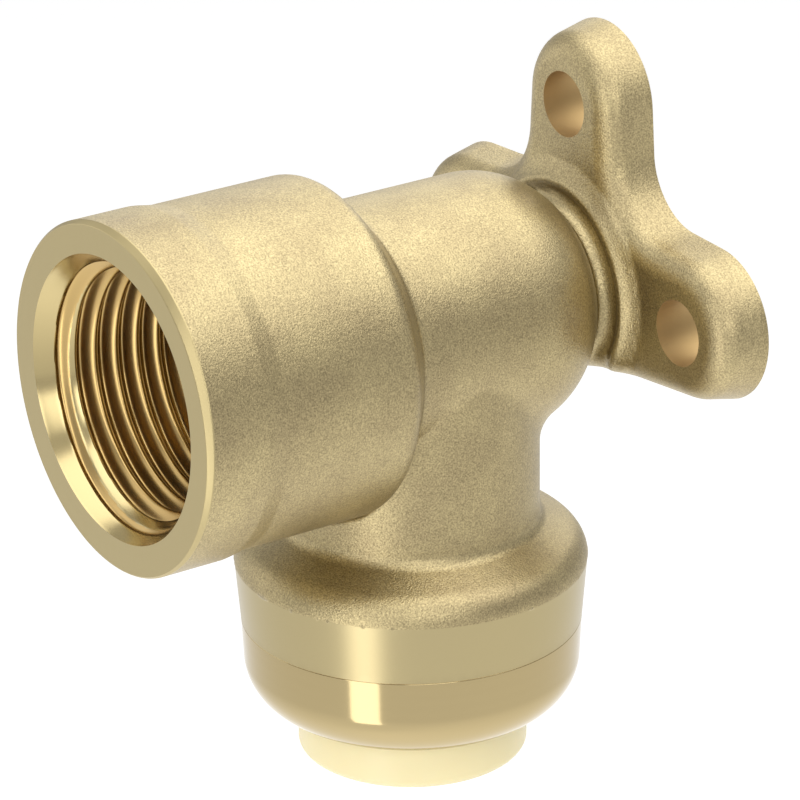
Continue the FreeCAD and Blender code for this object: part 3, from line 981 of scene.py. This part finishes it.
# %% Release collar
COLLAR_BORE = 8.15
COLLAR_RADIUS = 8.975
COLLAR_FLANGE_RADIUS = 10.0
COLLAR_FLANGE_TOP = 29.2
COLLAR_FLANGE_LOW = 30.1
COLLAR_NOSE_TOP = 27.5
COLLAR_NOSE_TAPER = 0.45
COLLAR_END = 35.3
COLLAR_END_ROUND = 0.7
MOULD_EDGE_ROUND = 0.12

collar = turned_piece("moulded_collar", rounded_outline([
    (COLLAR_END, COLLAR_BORE, MOULD_EDGE_ROUND),
    (COLLAR_END, COLLAR_RADIUS, COLLAR_END_ROUND),
    (COLLAR_FLANGE_LOW, COLLAR_RADIUS, MOULD_EDGE_ROUND),
    (COLLAR_FLANGE_LOW, COLLAR_FLANGE_RADIUS, MOULD_EDGE_ROUND),
    (COLLAR_FLANGE_TOP, COLLAR_FLANGE_RADIUS, MOULD_EDGE_ROUND),
    (COLLAR_FLANGE_TOP, COLLAR_RADIUS, MOULD_EDGE_ROUND),
    (COLLAR_NOSE_TOP, COLLAR_RADIUS - COLLAR_NOSE_TAPER, MOULD_EDGE_ROUND),
    (COLLAR_NOSE_TOP, COLLAR_BORE, MOULD_EDGE_ROUND),
]), round_branch, "collar")
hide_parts("release_collar")
collar.data.materials.append(ivory_acetal)

# %% [markdown]
# ## Seal and spacer
# Inside the branch a rubber ring seals against the tube, and a plastic spacer keeps it off the
# teeth. Both can be seen by looking up into the collar. They are plain turned outlines: a
# circle, and a ring with a coned foot.

# %% Seal and spacer
SEAL_SECTION_RADIUS = 1.25
SEAL_CENTRE_RADIUS = 9.15
SEAL_DEPTH = 19.75
SEAL_STEPS = 40
SPACER_TOP = 21.1
SPACER_LOW = 26.5
SPACER_BORE = 8.3
SPACER_RADIUS = 10.4
SPACER_EDGE_RADIUS = 9.9
SPACER_CONE_DEG = 35.0

turn = np.arange(SEAL_STEPS) * 2 * math.pi / SEAL_STEPS
seal_circle = np.stack([
    SEAL_DEPTH + SEAL_SECTION_RADIUS * np.cos(turn),
    SEAL_CENTRE_RADIUS + SEAL_SECTION_RADIUS * np.sin(turn),
], axis=-1)
seal = turned_piece("rubber_seal", seal_circle, round_branch, "fitting")
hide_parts("o_ring")
seal.data.materials.append(seal_rubber)
spacer_cone = (SPACER_EDGE_RADIUS - SPACER_BORE) / math.tan(math.radians(SPACER_CONE_DEG))
spacer = turned_piece("spacer_ring", rounded_outline([
    (SPACER_TOP, SPACER_BORE, MOULD_EDGE_ROUND),
    (SPACER_TOP, SPACER_RADIUS, MOULD_EDGE_ROUND),
    (SPACER_LOW, SPACER_RADIUS, MOULD_EDGE_ROUND),
    (SPACER_LOW, SPACER_EDGE_RADIUS, MOULD_EDGE_ROUND),
    (SPACER_LOW - spacer_cone, SPACER_BORE, MOULD_EDGE_ROUND),
]), round_branch, "fitting")
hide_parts("o_ring_protector")
spacer.data.materials.append(spacer_plastic)

# %% [markdown]
# ## Grab ring
# The grab ring is a flat steel rim with a ring of bent teeth. Each tooth and its share of the
# rim is one strip: rows run from the rim to the tip and back underneath, and columns run
# across. Inside the rim the strip narrows at once to the tooth, which leaves the slots. When the
# collar is pushed in, its nose lifts the teeth. The piece rides on no body.

# %% Grab ring
TOOTH_COUNT = 14
TOOTH_GAP = 1.3
TOOTH_TIP_RADIUS = 7.85
TOOTH_SLOPE_DEG = 40.0
STEEL_THICKNESS = 0.5
STEEL_RIM_RADIUS = 11.8
STEEL_ROOT_RADIUS = 10.0
TOOTH_ROWS = 10
TOOTH_COLUMNS = 9


def strip_rows():
    """Radius, depth and half angle of each row: rim, root, root narrowed, and on to the tip."""
    radius = np.linspace(STEEL_ROOT_RADIUS, TOOTH_TIP_RADIUS, TOOTH_ROWS)
    rise = (STEEL_ROOT_RADIUS - radius) * math.tan(math.radians(TOOTH_SLOPE_DEG))
    share = math.pi / TOOTH_COUNT
    narrowed = share - np.arcsin(TOOTH_GAP / 2 / radius)
    radius = np.concatenate([[STEEL_RIM_RADIUS, STEEL_ROOT_RADIUS], radius])
    rise = np.concatenate([[0, 0], rise])
    half_angle = np.concatenate([[share, share], narrowed])
    return radius, SPIGOT_END - rise, half_angle


radius, depth, half_angle = strip_rows()
rows = len(radius)
radius = np.concatenate([radius, radius[::-1]])[:, None]
half_angle = np.concatenate([half_angle, half_angle[::-1]])[:, None]
depth = np.concatenate([depth, depth[::-1] + STEEL_THICKNESS])[:, None]
across = np.linspace(-1, 1, TOOTH_COLUMNS)[None]
number = np.arange(2 * rows * TOOTH_COLUMNS).reshape(2 * rows, TOOTH_COLUMNS)
below = np.roll(number, -1, axis=0)
skin = np.stack([number[:, :-1], number[:, 1:], below[:, 1:], below[:, :-1]], axis=-1)
upper, lower = number[:rows], number[::-1][:rows]
ends = [np.stack([upper[:-1, side], upper[1:, side], lower[1:, side], lower[:-1, side]], axis=-1)
        for side in (0, -1)]
strip_faces = np.concatenate([skin.reshape(-1, 4), ends[0], ends[1][:, ::-1]])
strips = [round_branch(depth, radius, half_angle * across + 2 * math.pi * (tooth + 0.5) / TOOTH_COUNT)
          for tooth in range(TOOTH_COUNT)]
ring_points = np.stack(strips).reshape(-1, 3)
ring_faces = [strip_faces + tooth * number.size for tooth in range(TOOTH_COUNT)]
grab_ring = make_piece(
    "steel_grab_ring", ring_points, np.concatenate(ring_faces), None)
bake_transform(grab_ring)
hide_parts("grab_ring")
grab_ring.data.materials.append(spring_steel)

# %% [markdown]
# ## Camera
# The photograph was taken from the right and above with a long lens. The camera's place, aim and
# lens were found by fitting the drawing's edges to the photograph.

# %% Camera
CAMERA_PLACE = Vector((286.82, -216.24, 137.59)) / MM_PER_METRE
CAMERA_RIGHT = Vector((0.56901, 0.82227, -0.00974))
CAMERA_UP = Vector((-0.30659, 0.22312, 0.92532))
CAMERA_BACK = Vector((0.76304, -0.52353, 0.37906))
LENS_MM = 221.56
FRAMING_SHIFT = -0.0202

lens = bpy.data.cameras.new("photo_camera")
lens.lens = LENS_MM
lens.shift_y = FRAMING_SHIFT
camera = bpy.data.objects.new("photo_camera", lens)
turned = Matrix((CAMERA_RIGHT, CAMERA_UP, CAMERA_BACK)).transposed().to_4x4()
camera.matrix_world = Matrix.Translation(CAMERA_PLACE) @ turned
bpy.context.scene.collection.objects.link(camera)
bpy.context.scene.camera = camera
print("camera", round(CAMERA_PLACE.length * MM_PER_METRE), "mm from the origin")

# %% [markdown]
# ## Studio
# A wide pale floor lies well below the part, which in use is screwed to a wall. It glows a little
# for the camera and for reflections, so that it reads as white paper and still takes a shadow.
# The world around it is an even, dimmer white.

# %% Floor and world, in metres
FLOOR_HEIGHT = -0.60
FLOOR_HALF = 6.0
FLOOR_GLOW = 0.42
PAPER_COLOUR = "#f4f4f4"
PAPER_ROUGHNESS = 0.9
WHITE = "#ffffff"
WORLD_LEVEL = 0.58

floor_corners = np.array([(-1, -1, 0), (1, -1, 0), (1, 1, 0), (-1, 1, 0)]) * FLOOR_HALF
floor_mesh = bpy.data.meshes.new("studio_floor")
floor_mesh.from_pydata(floor_corners + (0, 0, FLOOR_HEIGHT), [], [(0, 1, 2, 3)])
floor = bpy.data.objects.new("studio_floor", floor_mesh)
bpy.context.scene.collection.objects.link(floor)
# Matt paper: an even white without any shine.
paper, tree, shader, _ = new_material("paper_white_matt")
rays = add_node(tree, "ShaderNodeLightPath", {}).outputs
seen = add_node(tree, "ShaderNodeMath", {
    0: rays["Is Camera Ray"], 1: rays["Is Glossy Ray"],
}, operation="MAXIMUM")
seen = add_node(tree, "ShaderNodeMath", {
    0: seen.outputs["Value"], 1: rays["Is Transmission Ray"],
}, operation="MAXIMUM")
glow = add_node(tree, "ShaderNodeMath", {
    0: seen.outputs["Value"], 1: FLOOR_GLOW,
}, operation="MULTIPLY")
tree.links.new(glow.outputs["Value"], shader.inputs["Emission Strength"])
shader.inputs["Emission Color"].default_value = linear(WHITE)
shader.inputs["Base Color"].default_value = linear(PAPER_COLOUR)
shader.inputs["Roughness"].default_value = PAPER_ROUGHNESS
floor.data.materials.append(paper)
scene = bpy.context.scene
scene.world = bpy.data.worlds.new("studio")
scene.world.use_nodes = True
background = scene.world.node_tree.nodes["Background"]
background.inputs["Color"].default_value = linear(WHITE)
background.inputs["Strength"].default_value = WORLD_LEVEL
scene.view_settings.view_transform = "Standard"
print("floor", FLOOR_HEIGHT, "m below the socket's axis")

# %% [markdown]
# ## Lamps
# Brass shows what stands around it, so each lamp is placed for what it draws. A broad soft one
# overhead lights the tops, and one behind keeps the far edges clear. A panel near the camera
# fills the sides, and two at the left light the faces that point out of the wall. The low upright
# strip in front draws the line of light that runs down the turned band and the cap.

# %% Lamps, in metres
AIM = Vector((0, -0.02, -0.005))
# Each row is a name, a place, a width, a height and a brightness.
LAMPS = (
    ("overhead_softbox", (0.05, 0.1, 0.65), 1.2, 1.2, 2.05),
    ("back_softbox", (-0.55, 0.55, 0.35), 0.7, 0.6, 1.25),
    ("camera_panel", (0.52, -0.22, 0.2), 0.34, 0.3, 2.5),
    ("front_strip", (0.17, -0.42, 0.0), 0.16, 0.8, 2.2),
    ("left_panel", (-0.5, -0.38, 0.1), 0.5, 0.4, 0.8),
    ("upper_left_panel", (-0.3, -0.45, 0.45), 0.4, 0.4, 0.7),
)


def add_lamp(name, place, width, height, brightness):
    """A rectangular soft lamp in metres, aimed at the part. Its power is the brightness of its
    face times its area times pi."""
    lamp = bpy.data.lights.new(name, "AREA")
    lamp.shape = "RECTANGLE"
    lamp.size = width
    lamp.size_y = height
    lamp.energy = brightness * width * height * math.pi
    holder = bpy.data.objects.new(name, lamp)
    holder.location = place
    holder.rotation_euler = (AIM - Vector(place)).to_track_quat("-Z", "Y").to_euler()
    holder.visible_camera = False
    bpy.context.scene.collection.objects.link(holder)
    print(name, round(lamp.energy, 2), "W")


for row in LAMPS:
    add_lamp(*row)
